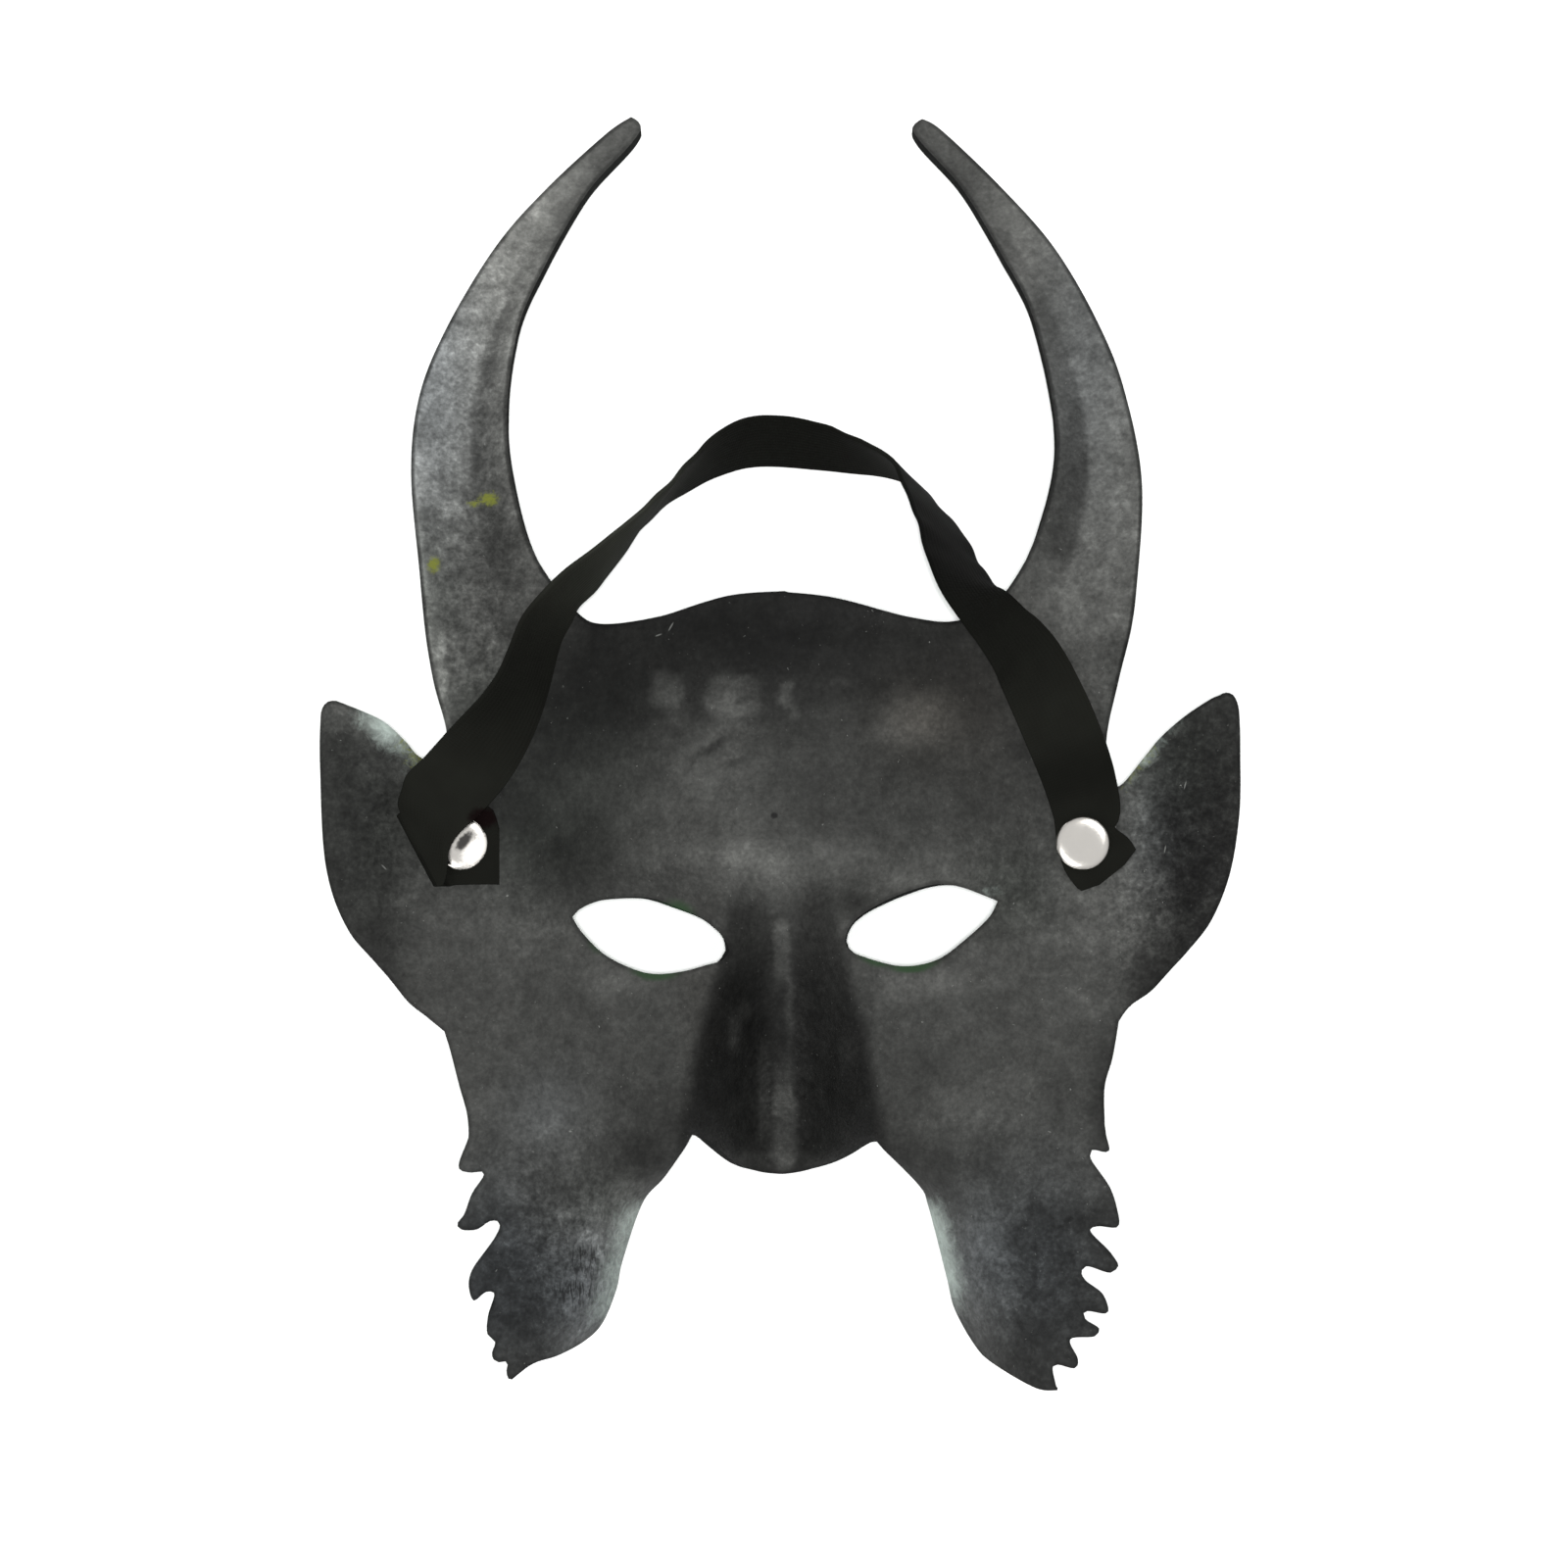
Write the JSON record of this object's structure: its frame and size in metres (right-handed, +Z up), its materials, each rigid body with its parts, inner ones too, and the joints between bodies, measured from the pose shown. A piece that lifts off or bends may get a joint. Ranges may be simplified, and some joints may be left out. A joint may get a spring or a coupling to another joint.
{
  "type": "devil mask",
  "caption": "Leather half mask of a horned devil with pointed ears, open mouth and toothed beard lobes, held by a riveted elastic strap, lying face down.",
  "frame": {"origin": "middle of the mask's outline, on the surface that it lies on", "axes": "+Y from the beard to the horn tips, +Z up, out of the hollow back, +X to the right seen from the back"},
  "size_m": [0.2303, 0.319, 0.0865],
  "materials": {
    "dyed_leather": "matt black dye, rubbed grey, on the back; green paint on the front",
    "black_elastic": "flat woven elastic",
    "rivet_metal": "polished, lightly scratched"
  },
  "bodies": {
    "root": {"mask_shell": "dyed_leather", "elastic_strap": "black_elastic", "rivet_left": "rivet_metal", "rivet_right": "rivet_metal"}
  },
  "joints": []
}
